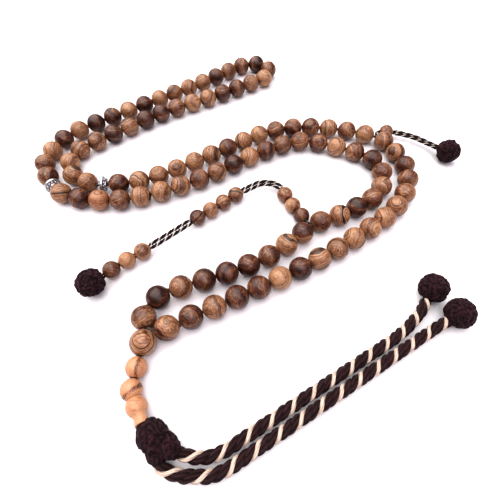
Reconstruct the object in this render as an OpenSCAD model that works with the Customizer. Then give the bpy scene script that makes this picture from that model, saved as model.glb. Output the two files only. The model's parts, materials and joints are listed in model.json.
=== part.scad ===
// Misbaha: a closed loop of round wooden prayer beads that lies in long folds on a table,
// with a head and a two-cord tassel, a string of small counter beads and a marker string.
// Millimetres, +Z up. Everything stands on Z = 0. The origin is under the middle of the
// loop, head and knot together. The loop's runs are named from the head: the inner run,
// then the left spacer, the far run, the right spacer and the outer run back to the head.

/* [Loop beads] */
// Diameter of the loop's beads
bead_d = 8; // [7:0.5:9]
// Bore through a loop bead
bead_bore_d = 2; // [1.9:0.1:2.3]
// Free play from one loop bead to the next
bead_play = 0.15; // [0.1:0.05:0.3]
// Diameter of the string in the loop and head
string_d = 1; // [0.8:0.1:1]

/* [Spacers] */
// Diameter of a spacer over its rim
spacer_d = 6.4; // [5.6:0.2:7]
// Thickness of a spacer at its hub
spacer_t = 3.2; // [2.8:0.1:3.4]

/* [Head] */
// Diameter of the bead where the loop's two ends meet
junction_d = 8.2; // [8:0.1:8.4]
// Bore through the junction bead and the head beads, which carry the string doubled
head_bore_d = 2.5; // [2.4:0.1:2.7]
// Diameter of the two head beads
head_bead_d = 6.4; // [6.2:0.1:6.6]
// Diameter of the ball of the end bead
end_ball_d = 6.3; // [6:0.1:6.5]
// Length of the end bead's neck, from the ball's centre to its mouth
end_neck_l = 5.3; // [5.1:0.1:5.5]

/* [Tassel] */
// Greatest diameter of the yarn knot at the head of the tassel
knot_d = 8.6; // [8.2:0.1:8.8]
// Length of the yarn knot
knot_l = 10.4; // [10:0.1:10.8]
// Diameter of a tassel cord
tassel_cord_d = 3.8; // [3.4:0.1:3.8]
// Diameter of a yarn ball
ball_d = 10; // [9.4:0.1:10.2]

/* [Side strings] */
// Diameter of a counter bead
counter_bead_d = 6; // [5.6:0.1:6]
// Bore through a counter bead, which carries the thin cord doubled
counter_bore_d = 2.4; // [2.2:0.1:2.6]
// Diameter of the thin cord
thin_cord_d = 0.8; // [0.7:0.1:0.8]
// Room that a side string's loop takes between two beads of the loop
hitch_room = 0.8; // [0.7:0.1:0.9]

/* [Hidden] */
inner_count = 33;
far_count = 34;
outer_count = 33;
counter_count = 10;
// Loop beads next to the head, on each run, that are a node each
single_count = 13;
// The last loop bead before the counter string, and the last before the marker string
counter_hitch_after = 9;
marker_hitch_after = 18;

// The routes are laid out for this distance from bead to bead, and grow with it
route_pitch = 8.15;
pitch = bead_d + bead_play;
lay = pitch / route_pitch;
junction_play = 0.25;
spacer_play = 0.5;
head_play = 0.15;
junction_step = (junction_d + bead_d) / 2 + junction_play;
spacer_step = (bead_d + spacer_t) / 2 + spacer_play;
// The end bead's mouth is dished, so that the head bead before it sits in it
end_dish_step = 5.2;
// Room in which the knot swings at the end bead's mouth
knot_gap = 0.45;
// Sideways place of each of two strings in one bore
string_offset = 0.55;
thin_offset = 0.45;
// The thin cord's two halves leave the loop one above the other and then lie side by side
thin_rises = [90, 45, 0];
socket_r = tassel_cord_d / 2 + 0.4;
tube_sides = 8;
curve_steps = 10;

// Route of the loop, from the junction bead round to it again
loop_route = lay * [
    [-22.5, -63], [-23.5, -54.5], [-20, -47.5], [-12.5, -43.5], [3, -38], [17.5, -31],
    [30.5, -20.5], [37.5, -15.5], [45, -12.5], [59, -4], [64, 3], [65.5, 11.5], [63, 18],
    [56.5, 22.5], [41.5, 28.5], [33, 29.5], [25, 27], [10, 19], [-9.5, 6.5], [-32, -3],
    [-48, -5], [-64, -1.5], [-72.5, 8.5], [-75.5, 17], [-71, 32], [-58.5, 43], [-32, 61],
    [-12.5, 74.5], [6.5, 89], [14.5, 91], [21, 85.5], [18.5, 78], [11, 73], [-9.5, 61],
    [-31, 49], [-56, 30], [-63, 23.5], [-65, 15.5], [-61, 7.5], [-53, 4], [-41, 4],
    [-25.5, 9], [2.5, 26], [16.5, 34.5], [32, 39], [48.5, 38], [64.5, 33.5], [71.5, 28],
    [74, 21], [76, 13.5], [75, 5], [71, -3.5], [60.5, -15], [34, -33], [6, -47.5], [-14.5, -57.5],
    [-22.5, -63]
];

// Route of the head, from the junction bead to the end bead's mouth
head_route = lay * [
    [-22.5, -63, 4.1], [-23.5, -70, 3.2], [-24, -76.5, 3.2], [-21.5, -81.5, 3.6],
    [-19, -86.5, 4.1]
];
knot_axis = [0.6, -0.8, 0];

// Routes of the two tassel cords, from the knot to inside the yarn balls
tassel_back_route = lay * [
    [-11.5, -92, 2.7], [-8.5, -93, 2.2], [-5, -93.8, 1.9], [-1, -93.8, 1.9], [3, -92.5, 1.9],
    [6, -90.8, 1.9], [9, -89, 1.9], [14, -86, 1.9], [24, -80, 1.9], [34, -74, 1.9],
    [44, -68, 1.9], [54, -62, 1.9], [59, -58.6, 1.9], [63, -55.2, 1.9], [66.5, -51.6, 2.4],
    [69, -48, 3.2]
];
tassel_back_ball = lay * [71.5, -44.5];
tassel_front_route = lay * [
    [-14.4, -95.3, 2.7], [-11.8, -97, 2.2], [-8, -98, 1.9], [-4, -98.3, 1.9], [0, -98.1, 1.9],
    [4, -96.8, 1.9], [8, -94.4, 1.9], [12, -92, 1.9], [22, -86, 1.9], [32, -80, 1.9],
    [42, -74, 1.9], [52, -68, 1.9], [62, -62, 1.9], [67, -59, 1.9], [71, -56.8, 2.4],
    [74.5, -55, 3.2]
];
tassel_front_ball = lay * [77.5, -53.5];

// Route of the counter string. A bead sits in the middle of each stretch in
// counter_stretches, or against one end of a longer stretch that it can slide along
counter_route = lay * [
    [32.9, -17.2, 4], [32.3, -16.2, 3.7], [32, -14.6, 3.2], [29, -9.5, 3], [26, -4, 3],
    [23.5, 1.6, 3], [22.3, 3.4, 3], [20.5, 4.6, 3], [18, 5.2, 3], [15.5, 5, 3], [13, 4, 3],
    [2.5, -3, 3],
    [-2, -7.5, 3], [-7, -11, 3], [-30.5, -30.5, 3], [-35.5, -34, 3], [-40, -38.5, 3],
    [-42, -41, 4.3]
];
counter_ball_at = lay * [-43, -42.5];
// First route point of each counter bead's stretch, and which end it sits against:
// 0 in the middle, 1 at the start, 2 at the end
counter_stretches = [
    [2, 0], [3, 0], [4, 0], [10, 2], [11, 0], [12, 0], [13, 1], [13, 2], [14, 0], [15, 0]
];

// Route of the marker string: from its bead on it is an arc of radius 25 about [72, 12]
marker_route = lay * [
    [67.2, 33.2, 4], [67.7, 34, 3.7], [68.3, 35, 3.3], [69, 36.1, 3.1], [70, 36.8, 3],
    [72, 37, 3], [74, 36.9, 3], [76, 36.7, 3], [78, 36.3, 3], [80, 35.7, 3], [82, 34.9, 3],
    [84, 33.9, 3], [86, 32.7, 3], [88, 31.2, 3], [90, 29.3, 3.1], [92, 27, 3.5],
    [93.6, 24.6, 4.1]
];
marker_bead_at = lay * [73, 37, 3];
marker_bead_axis = [25, -1, 0];
marker_ball_at = lay * [96, 22];

wood_tones = ["#c49a6c", "#a9713f", "#7a4a2b", "#4f2f20"];
pale_wood = "#d2a679";
yarn_brown = "#3a2326";
cord_brown = "#4a2e2e";
string_brown = "#2e2020";
silver = "#c8c8cc";

// ---- Lines, places and directions ----

function unit(v) = v / norm(v);

function between(a, b, t) = a + (b - a) * t;

function reverse(list) = [for (i = [len(list) - 1 : -1 : 0]) list[i]];

// A point on the smooth curve from b to c, with neighbours a and d
function curve_point(a, b, c, d, t) =
    (2 * b + (c - a) * t + (2 * a - 5 * b + 4 * c - d) * t * t
    + (3 * b - a - 3 * c + d) * t * t * t) / 2;

// A smooth line through the points, with some steps from each to the next
function smooth_line(p, steps) = [
    for (i = [0 : len(p) - 2], j = [0 : steps - 1])
        curve_point(p[max(i - 1, 0)], p[i], p[i + 1], p[min(i + 2, len(p) - 1)], j / steps),
    p[len(p) - 1]
];

// The first point of the line, from number k on, that is at least d from c
function reach(line, c, d, k) =
    k < len(line) - 1 && norm(line[k] - c) < d ? reach(line, c, d, k + 1) : k;

// The place just before point k where the line is d from c
function at_distance(line, c, d, k) =
    let (near = norm(line[k - 1] - c), far = norm(line[k] - c))
    between(line[k - 1], line[k], (d - near) / (far - near));

// Centres along a line, each a step from the one before, the first a step from its start
function places(line, steps) = [
    for (i = 0, k = reach(line, line[0], steps[0], 1), c = at_distance(line, line[0], steps[0], k);
        i < len(steps);
        i = i + 1,
        k = i < len(steps) ? reach(line, c, steps[i], k) : k,
        c = i < len(steps) ? at_distance(line, c, steps[i], k) : c)
        c
];

function lifted(p, z) = [p[0], p[1], z];

// The direction of a chain of centres at item i
function heading(chain, i) =
    unit(chain[min(i + 1, len(chain) - 1)] - chain[max(i - 1, 0)]);

function level_side(direction) = unit([direction[1], -direction[0], 0]);

// ---- The loop ----

loop_line = smooth_line(loop_route, curve_steps);
inner_steps = [
    for (i = [1 : inner_count])
        i == 1 ? junction_step : pitch + (i == counter_hitch_after + 1 ? hitch_room : 0)
];
far_steps = [for (i = [1 : far_count]) i == 1 ? spacer_step : pitch];
outer_steps = [
    for (i = [1 : outer_count])
        i == 1 ? junction_step : pitch + (i == marker_hitch_after + 1 ? hitch_room : 0)
];
way_out = places(loop_line, concat(inner_steps, [spacer_step], far_steps));
way_back = places(reverse(loop_line), concat(outer_steps, [spacer_step]));
junction_at = lifted(loop_line[0], junction_d / 2);
loop_chain = concat(
    [junction_at],
    [for (p = way_out) lifted(p, bead_d / 2)],
    [for (p = reverse(way_back)) lifted(p, bead_d / 2)],
    [junction_at]
);
left_spacer_item = inner_count + 1;
right_spacer_item = left_spacer_item + far_count + 1;
last_item = len(loop_chain) - 1;

function inner_item(i) = i;
function far_item(i) = left_spacer_item + i;
function outer_item(i) = last_item - i;

// ---- The head ----

head_line = smooth_line(head_route, curve_steps);
head_steps = [
    (junction_d + head_bead_d) / 2 + head_play,
    head_bead_d + head_play,
    end_dish_step,
    end_neck_l
];
head_chain = concat([junction_at], places(head_line, head_steps));
head_axis = unit(head_chain[1] - head_chain[0]);
end_axis = unit(head_chain[4] - head_chain[2]);
end_ball_at = head_chain[2] + end_axis * end_dish_step;
end_mouth_at = end_ball_at + end_axis * end_neck_l;
head_pivot_at = junction_at + head_axis * junction_d / 2;
knot_nose_at = end_mouth_at + knot_axis * knot_gap;

// ---- Strings ----

// A string goes through a bead along its bore, from just inside one mouth to the other
function bore_points(centre, axis, half) = [centre - axis * half, centre + axis * half];

junction_side = level_side(head_axis);
junction_mouth_at = junction_at - head_axis * junction_d / 2;
// The way from the junction bead's lower mouth up through it, for the string's end on one side
function junction_end(side) = [
    junction_at + head_axis * (junction_d / 2 - 0.6) + junction_side * side * string_offset,
    junction_mouth_at + junction_side * side * string_offset
];
// The bores of the loop's first and last beads lean towards the junction bead's mouth
function leaning_axis(bead, next) = unit(3 * unit(bead - junction_mouth_at) + unit(next - bead));
loop_axes = [
    for (i = [0 : last_item])
        i == 1 ? leaning_axis(loop_chain[1], loop_chain[2])
        : i == last_item - 1 ? -leaning_axis(loop_chain[i], loop_chain[i - 1])
        : heading(loop_chain, i)
];
main_string_path = concat(
    junction_end(1),
    [
        for (i = [1 : last_item - 1])
            let (metal = i == left_spacer_item || i == right_spacer_item)
            each bore_points(loop_chain[i], loop_axes[i], metal ? spacer_t / 2 : bead_d / 2)
    ],
    reverse(junction_end(-1))
);
head_string_line = concat(
    [head_pivot_at],
    [
        for (i = [1, 2])
            each bore_points(head_chain[i], heading(head_chain, i), head_bead_d * 0.48)
    ],
    [end_ball_at, end_mouth_at]
);

// A line moved off itself by an amount. The rises are the angles, point by point, from the
// level towards upright at which it is moved. The last of them holds for the rest
function beside(line, amount, rises) = [
    for (i = [0 : len(line) - 1])
        let (side = level_side(heading(line, i)), rise = rises[min(i, len(rises) - 1)])
        line[i] + amount * (cos(rise) * side + sin(rise) * [0, 0, 1])
];

// ---- Side strings ----

function counter_axis(i) =
    let (k = counter_stretches[i - 1][0]) unit(counter_route[k + 1] - counter_route[k]);

function counter_centre(i) =
    let (
        k = counter_stretches[i - 1][0],
        end = counter_stretches[i - 1][1],
        room = counter_bead_d / 2 + 0.08
    )
    end == 1 ? counter_route[k] + counter_axis(i) * room
    : end == 2 ? counter_route[k + 1] - counter_axis(i) * room
    : (counter_route[k] + counter_route[k + 1]) / 2;

// ---- Node names ----

function two_digits(i) = str(i < 10 ? "0" : "", i);
function single_name(run, i) = str(run, "_bead_", two_digits(i));
function rest_name(run, first, last) = str(run, "_beads_", two_digits(first), "_", two_digits(last));

rest_first = single_count + 1;
far_half = far_count / 2;
inner_rest = rest_name("inner", rest_first, inner_count);
outer_rest = rest_name("outer", rest_first, outer_count);
far_first_half = rest_name("far", 1, far_half);
far_second_half = rest_name("far", far_half + 1, far_count);

// ---- Shapes ----

// Puts its children at a point, with their Z along a direction
module along(at, direction) {
    d = unit(direction);
    translate(at) rotate([0, acos(d[2]), atan2(d[1], d[0])]) children();
}

// A round bead with a bore along Z
module drilled_ball(d, bore) {
    difference() {
        sphere(d = d, $fn = 64);
        cylinder(h = d + 1, d = bore, center = true, $fn = 32);
    }
}

module loop_bead(item) {
    along(loop_chain[item], loop_axes[item]) drilled_ball(bead_d, bead_bore_d);
}

// A round tube along a line
module tube(line, d) {
    last = len(line) - 1;
    rings = [
        for (i = [0 : last])
            let (way = heading(line, i), side = level_side(way), up = cross(side, way))
            for (j = [0 : tube_sides - 1])
                let (angle = 360 * (j + 0.5) / tube_sides)
                line[i] + d / 2 * (cos(angle) * side + sin(angle) * up)
    ];
    walls = [
        for (i = [0 : last - 1], j = [0 : tube_sides - 1])
            let (next = (j + 1) % tube_sides)
            [
                i * tube_sides + j, (i + 1) * tube_sides + j,
                (i + 1) * tube_sides + next, i * tube_sides + next
            ]
    ];
    start_cap = [for (j = [0 : tube_sides - 1]) j];
    end_cap = [for (j = [tube_sides - 1 : -1 : 0]) last * tube_sides + j];
    polyhedron(points = rings, faces = concat(walls, [start_cap, end_cap]), convexity = 8);
}

// ---- Sub-parts ----

module main_string() {
    color(string_brown) tube(main_string_path, string_d);
}

module junction_bead() {
    color(pale_wood) along(junction_at, head_axis) drilled_ball(junction_d, head_bore_d);
}

// A silver spacer: a turned disc with a hub on each face and a narrow rim
module spacer(item) {
    hub_r = spacer_d * 0.31;
    rim_r = spacer_d / 2;
    web = spacer_t * 0.3;
    color(silver) along(loop_chain[item], loop_axes[item])
        rotate_extrude($fn = 64)
            polygon([
                [bead_bore_d / 2, -spacer_t / 2], [hub_r, -spacer_t / 2],
                [hub_r + 0.3, -web], [rim_r - 0.3, -web * 0.7], [rim_r, -web * 0.35],
                [rim_r, web * 0.35], [rim_r - 0.3, web * 0.7], [hub_r + 0.3, web],
                [hub_r, spacer_t / 2], [bead_bore_d / 2, spacer_t / 2]
            ]);
}

module left_spacer() {
    spacer(left_spacer_item);
}

module right_spacer() {
    spacer(right_spacer_item);
}

module inner_bead(i) {
    color(wood_tones[(i * 3 + 1) % 4]) loop_bead(inner_item(i));
}

module outer_bead(i) {
    color(wood_tones[(i * 5 + 2) % 4]) loop_bead(outer_item(i));
}

module far_bead(i) {
    color(wood_tones[(i * 7) % 4]) loop_bead(far_item(i));
}

// The string doubled, from the junction bead's lower mouth to the end bead's mouth
module head_string() {
    color(string_brown) {
        tube(beside(head_string_line, string_offset, [90]), string_d);
        tube(beside(head_string_line, -string_offset, [90]), string_d);
    }
}

module head_bead(i) {
    color(pale_wood) along(head_chain[i], heading(head_chain, i))
        drilled_ball(head_bead_d, head_bore_d);
}

// The end bead: a ball with a flared neck, dished at the top for the head bead before it
module end_bead() {
    neck_r = end_ball_d * 0.29;
    countersink_d = end_ball_d * 0.66;
    mouth_r = end_ball_d * 0.335;
    color(pale_wood) along(end_ball_at, end_axis)
        difference() {
            union() {
                sphere(d = end_ball_d, $fn = 64);
                rotate_extrude($fn = 64)
                    polygon([
                        [0, end_neck_l * 0.3], [neck_r * 1.25, end_neck_l * 0.34],
                        [neck_r * 1.1, end_neck_l * 0.48], [neck_r, end_neck_l * 0.62],
                        [neck_r * 1.03, end_neck_l * 0.76], [mouth_r, end_neck_l * 0.94],
                        [mouth_r, end_neck_l], [0, end_neck_l]
                    ]);
            }
            translate([0, 0, -end_dish_step]) sphere(d = head_bead_d + 2 * head_play, $fn = 64);
            translate([0, 0, -end_ball_d / 2])
                cylinder(h = end_ball_d / 2, d1 = countersink_d, d2 = head_bore_d, $fn = 32);
            translate([0, 0, -end_ball_d])
                cylinder(h = end_ball_d + end_neck_l + 1, d = head_bore_d, $fn = 32);
        }
}

// The yarn knot, with a round socket for the end of each tassel cord
module tassel_knot() {
    nose_r = knot_d * 0.17;
    color(yarn_brown)
        difference() {
            along(knot_nose_at, knot_axis)
                rotate_extrude($fn = 64)
                    polygon(concat(
                        [[0, 0], [nose_r, 0]],
                        [
                            for (a = [30 : 15 : 150])
                                [knot_d / 2 * sqrt(sin(a)), knot_l / 2 * (1 - cos(a))]
                        ],
                        [[nose_r, knot_l], [0, knot_l]]
                    ));
            translate(tassel_back_route[0]) sphere(r = socket_r, $fn = 48);
            translate(tassel_front_route[0]) sphere(r = socket_r, $fn = 48);
        }
}

module tassel_cord(route) {
    color(cord_brown) tube(route, tassel_cord_d);
}

module yarn_ball(at) {
    color(yarn_brown) translate(lifted(at, ball_d / 2)) sphere(d = ball_d, $fn = 64);
}

module counter_bead(i) {
    color(wood_tones[i % 3]) along(counter_centre(i), counter_axis(i))
        drilled_ball(counter_bead_d, counter_bore_d);
}

module counter_cord(side) {
    color(cord_brown) tube(beside(counter_route, side * thin_offset, thin_rises), thin_cord_d);
}

module marker_bead() {
    color(wood_tones[0]) along(marker_bead_at, marker_bead_axis)
        drilled_ball(counter_bead_d, counter_bore_d);
}

module marker_cord(side) {
    color(cord_brown) tube(beside(marker_route, side * thin_offset, thin_rises), thin_cord_d);
}

// ---- Nodes ----

main_string();
junction_bead();
left_spacer();
right_spacer();
for (i = [1 : single_count]) inner_bead(i);
for (i = [1 : single_count]) outer_bead(i);
for (i = [rest_first : inner_count]) inner_bead(i);
for (i = [1 : far_half]) far_bead(i);
for (i = [far_half + 1 : far_count]) far_bead(i);
for (i = [rest_first : outer_count]) outer_bead(i);
head_string();
head_bead(1);  // head_bead_upper
head_bead(2);  // head_bead_lower
end_bead();
tassel_knot();
tassel_cord(tassel_back_route);  // tassel_cord_back
yarn_ball(tassel_back_ball);  // tassel_ball_back
tassel_cord(tassel_front_route);  // tassel_cord_front
yarn_ball(tassel_front_ball);  // tassel_ball_front
for (i = [1 : counter_count]) counter_bead(i);
counter_cord(1);  // counter_cord_a
counter_cord(-1);  // counter_cord_b
yarn_ball(counter_ball_at);  // counter_ball
marker_bead();
marker_cord(1);  // marker_cord_a
marker_cord(-1);  // marker_cord_b
yarn_ball(marker_ball_at);  // marker_ball
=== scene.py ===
"""A misbaha laid out in folds on a pale table: wooden loop beads, metal spacers, a head,
a tassel of two plied cords, a string of counter beads and a marker string."""

import json
import logging
import math
import random
from collections.abc import Callable, Sequence
from dataclasses import dataclass, field
from enum import Enum

import bpy
import numpy as np
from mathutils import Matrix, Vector


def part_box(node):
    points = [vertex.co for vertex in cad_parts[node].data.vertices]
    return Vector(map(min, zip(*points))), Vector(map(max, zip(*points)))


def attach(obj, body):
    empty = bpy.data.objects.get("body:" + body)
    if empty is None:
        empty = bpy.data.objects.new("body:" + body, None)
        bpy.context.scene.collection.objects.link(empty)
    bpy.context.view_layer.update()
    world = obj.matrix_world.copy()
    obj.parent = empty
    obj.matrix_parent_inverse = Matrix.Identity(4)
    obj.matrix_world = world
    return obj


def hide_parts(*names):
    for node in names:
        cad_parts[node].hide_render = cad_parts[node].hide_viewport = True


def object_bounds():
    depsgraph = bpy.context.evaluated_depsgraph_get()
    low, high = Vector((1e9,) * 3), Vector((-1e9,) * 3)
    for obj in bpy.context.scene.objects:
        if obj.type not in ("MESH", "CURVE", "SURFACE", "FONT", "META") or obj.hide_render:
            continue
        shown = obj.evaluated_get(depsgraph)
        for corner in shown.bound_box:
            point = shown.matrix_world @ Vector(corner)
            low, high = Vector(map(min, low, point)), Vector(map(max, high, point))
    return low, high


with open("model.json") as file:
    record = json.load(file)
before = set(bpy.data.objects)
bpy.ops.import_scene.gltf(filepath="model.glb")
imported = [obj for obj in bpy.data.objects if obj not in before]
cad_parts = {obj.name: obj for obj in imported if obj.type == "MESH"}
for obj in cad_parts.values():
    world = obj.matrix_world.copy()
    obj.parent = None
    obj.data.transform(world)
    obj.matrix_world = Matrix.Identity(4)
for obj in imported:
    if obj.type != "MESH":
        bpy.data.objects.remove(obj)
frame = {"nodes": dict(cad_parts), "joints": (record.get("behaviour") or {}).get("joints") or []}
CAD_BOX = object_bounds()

log = logging.getLogger("misbaha")
MM = 0.001
TAU = 2 * math.pi
UP = Vector((0, 0, 1))
TABLE_Z = CAD_BOX[0][2]
# Into how many pieces each stretch of a curve is cut before it is measured.
FINE_STEPS = 24
JOINTS = {joint["name"]: joint for joint in frame["joints"]}


# ---- Plain geometry ----


def millimetres(*points: Sequence[float]) -> list[Vector]:
    """Points given in millimetres, as vectors in metres."""
    return [Vector(p) * MM for p in points]


def level_side(way: Vector) -> Vector:
    """The level direction to the right of a way along the table."""
    return Vector((way.y, -way.x, 0)).normalized()


def heading(line: Sequence[Vector], i: int) -> Vector:
    """The direction of a line at point i."""
    return (line[min(i + 1, len(line) - 1)] - line[max(i - 1, 0)]).normalized()


def beside(line: Sequence[Vector], amount: float, rises: Sequence[float]) -> list[Vector]:
    """A line moved off itself.

    Args:
        line: the line's points.
        amount: how far it is moved.
        rises: angles from level to upright, in degrees, point by point; the last one holds
            for the rest.

    Returns:
        The moved points.
    """
    moved = []
    for i, point in enumerate(line):
        rise = math.radians(rises[min(i, len(rises) - 1)])
        side = level_side(heading(line, i))
        moved.append(point + amount * (math.cos(rise) * side + math.sin(rise) * UP))
    return moved


def smooth_line(points: Sequence[Vector], step: float) -> np.ndarray:
    """A smooth curve through points, cut into even steps.

    Args:
        points: the points that it goes through.
        step: the distance from one cut to the next.

    Returns:
        One row for each cut.
    """
    p = np.array([tuple(v) for v in points], float)
    p = np.vstack([2 * p[0] - p[1], p, 2 * p[-1] - p[-2]])
    fine = []
    for i in range(1, len(p) - 2):
        a, b, c, d = p[i - 1 : i + 3]
        for t in np.linspace(0, 1, FINE_STEPS, endpoint=False):
            fine.append(
                (2 * b + (c - a) * t + (2 * a - 5 * b + 4 * c - d) * t**2
                 + (3 * b - a - 3 * c + d) * t**3) / 2
            )
    fine.append(p[-2])
    fine = np.array(fine)
    run = np.concatenate([[0], np.cumsum(np.linalg.norm(np.diff(fine, axis=0), axis=1))])
    cuts = np.linspace(0, run[-1], max(2, round(run[-1] / step) + 1))
    return np.stack([np.interp(cuts, run, fine[:, k]) for k in range(3)], axis=1)


def frames_along(line: np.ndarray, closed: bool = False) -> tuple[np.ndarray, ...]:
    """The way, side and top of a line at each of its points, without any twist to speak of.

    Args:
        line: one row for each point.
        closed: True for a ring, whose last point is next to its first.

    Returns:
        Three arrays of unit vectors.
    """
    if closed:
        way = np.roll(line, -1, axis=0) - np.roll(line, 1, axis=0)
    else:
        way = np.gradient(line, axis=0)
    way /= np.linalg.norm(way, axis=1, keepdims=True)
    side = np.zeros_like(way)
    ref = np.cross(way[0], [0.0, 0.0, 1.0])
    if np.linalg.norm(ref) < 0.2:
        ref = np.cross(way[0], [0.0, 1.0, 0.0])
    for i, w in enumerate(way):
        ref = ref - w * ref.dot(w)
        ref /= np.linalg.norm(ref)
        side[i] = ref
    return way, side, np.cross(side, way)


# How wide the rings at a tube's ends are, from the end inwards, as shares of its own width.
END_SHARES = (0.35, 0.75, 0.95)


@dataclass
class Mesher:
    """Collects vertices, faces and what each vertex tells its material.

    Attributes:
        verts: the rows of vertices of each shape that was added.
        faces: every face's vertex numbers.
        slots: every face's material number.
        notes: for each note's name, one vector for each vertex.
        count: how many vertices there are.
    """

    verts: list[np.ndarray] = field(default_factory=list)
    faces: list[tuple[int, ...]] = field(default_factory=list)
    slots: list[int] = field(default_factory=list)
    notes: dict[str, list[np.ndarray]] = field(default_factory=dict)
    count: int = 0

    def add(
        self,
        verts: np.ndarray,
        faces: Sequence[tuple[int, ...]],
        slot: int = 0,
        **notes: np.ndarray,
    ) -> None:
        """Adds a shape.

        Args:
            verts: one row for each vertex.
            faces: rows of vertex numbers.
            slot: the number of its material.
            notes: one row for each vertex, or one for all.
        """
        start = self.count
        self.verts.append(np.asarray(verts, float))
        self.faces += [tuple(int(v) + start for v in f) for f in faces]
        self.slots += [slot] * len(faces)
        for name, value in notes.items():
            rows = np.broadcast_to(np.asarray(value, float), (len(verts), 3))
            self.notes.setdefault(name, []).append(rows)
        self.count += len(verts)

    def tube(
        self,
        line: np.ndarray,
        radius: float | np.ndarray,
        sides: int,
        slot: int = 0,
        closed: bool = False,
        turns: float = 0.0,
        lobes: tuple[int, float] = (0, 0.0),
    ) -> None:
        """Adds a tube along a line, with its ends rounded off.

        Args:
            line: one row for each ring's centre.
            radius: one radius, or one for each ring.
            sides: how many vertices a ring has.
            slot: the number of its material.
            closed: True for a ring without ends.
            turns: how far its own fibres turn for each millimetre.
            lobes: how many strands show round it, and how deep they are cut.
        """
        n = len(line)
        _, side, top = frames_along(line, closed)
        size = np.broadcast_to(np.asarray(radius, float), (n,)).copy()
        steps = np.linalg.norm(np.diff(line, axis=0), axis=1)
        run = np.concatenate([[0.0], np.cumsum(steps)]) / MM
        if not closed:
            for i, share in enumerate(END_SHARES):
                size[i] *= share
                size[-1 - i] *= share
        spread = np.broadcast_to(np.arange(sides) / sides * TAU, (n, sides))
        wide = size[:, None] * (
            1 + lobes[1] * np.cos(lobes[0] * spread - turns * TAU * run[:, None])
        )
        verts = (
            line[:, None]
            + (wide * np.cos(spread))[..., None] * side[:, None]
            + (wide * np.sin(spread))[..., None] * top[:, None]
        ).reshape(-1, 3)
        faces = []
        for i in range(n if closed else n - 1):
            j = (i + 1) % n
            for k in range(sides):
                m = (k + 1) % sides
                faces.append((i * sides + k, j * sides + k, j * sides + m, i * sides + m))
        if not closed:
            faces.append(tuple(range(sides)))
            faces.append(tuple(n * sides - 1 - k for k in range(sides)))
        note = np.stack(
            [np.cos(spread), np.sin(spread), np.repeat(run[:, None], sides, axis=1)], axis=2
        )
        self.add(verts, faces, slot, strand=note.reshape(-1, 3))

    def lathe(
        self,
        profile: Sequence[tuple[float, float]],
        centre: Vector,
        axis: Vector,
        sides: int,
        note: Callable[[np.ndarray], dict[str, np.ndarray]] | None = None,
    ) -> None:
        """Adds a closed profile turned round an axis.

        Args:
            profile: (radius, height) pairs, round and back to the start.
            centre: where height is 0.
            axis: the direction of height.
            sides: how many steps go round.
            note: gives the notes for the vertices, from their places about the centre.
        """
        turn = UP.rotation_difference(axis).to_matrix()
        rows = len(profile)
        angle = np.arange(sides) / sides * TAU
        local = np.array(
            [(r * math.cos(a), r * math.sin(a), z) for r, z in profile for a in angle]
        )
        spun = local @ np.array(turn).T
        faces = []
        for i in range(rows):
            j = (i + 1) % rows
            for k in range(sides):
                m = (k + 1) % sides
                faces.append((i * sides + k, i * sides + m, j * sides + m, j * sides + k))
        told = note(spun) if note else {}
        self.add(spun + np.array(centre), faces, **told)

    def piece(self, name: str, *materials: bpy.types.Material) -> bpy.types.Object:
        """Makes the mesh object, smooth all over.

        Args:
            name: the piece's name.
            materials: one for each slot number.

        Returns:
            The new object, in the scene.
        """
        mesh = bpy.data.meshes.new(name)
        mesh.from_pydata(np.vstack(self.verts).tolist(), [], self.faces)
        for material in materials:
            mesh.materials.append(material)
        mesh.polygons.foreach_set("material_index", self.slots)
        mesh.polygons.foreach_set("use_smooth", [True] * len(self.faces))
        for note, rows in self.notes.items():
            layer = mesh.attributes.new(note, "FLOAT_VECTOR", "POINT")
            layer.data.foreach_set("vector", np.vstack(rows).astype(np.float32).ravel())
        mesh.update()
        made = bpy.data.objects.new(name, mesh)
        bpy.context.scene.collection.objects.link(made)
        return made


def settle(piece: bpy.types.Object, body: str, slot: str, *nodes: str) -> bpy.types.Object:
    """Lets a piece ride on a body and stand for its CAD nodes.

    Args:
        piece: the piece.
        body: the CAD body that it moves with.
        slot: the record's material slot; not used.
        nodes: the CAD nodes that it stands for.

    Returns:
        The piece.
    """
    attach(piece, body)
    if nodes:
        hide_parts(*nodes)
    log.info("%s: %d faces, on %s", piece.name, len(piece.data.polygons), body)
    return piece


# ---- Finishes ----


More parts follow.
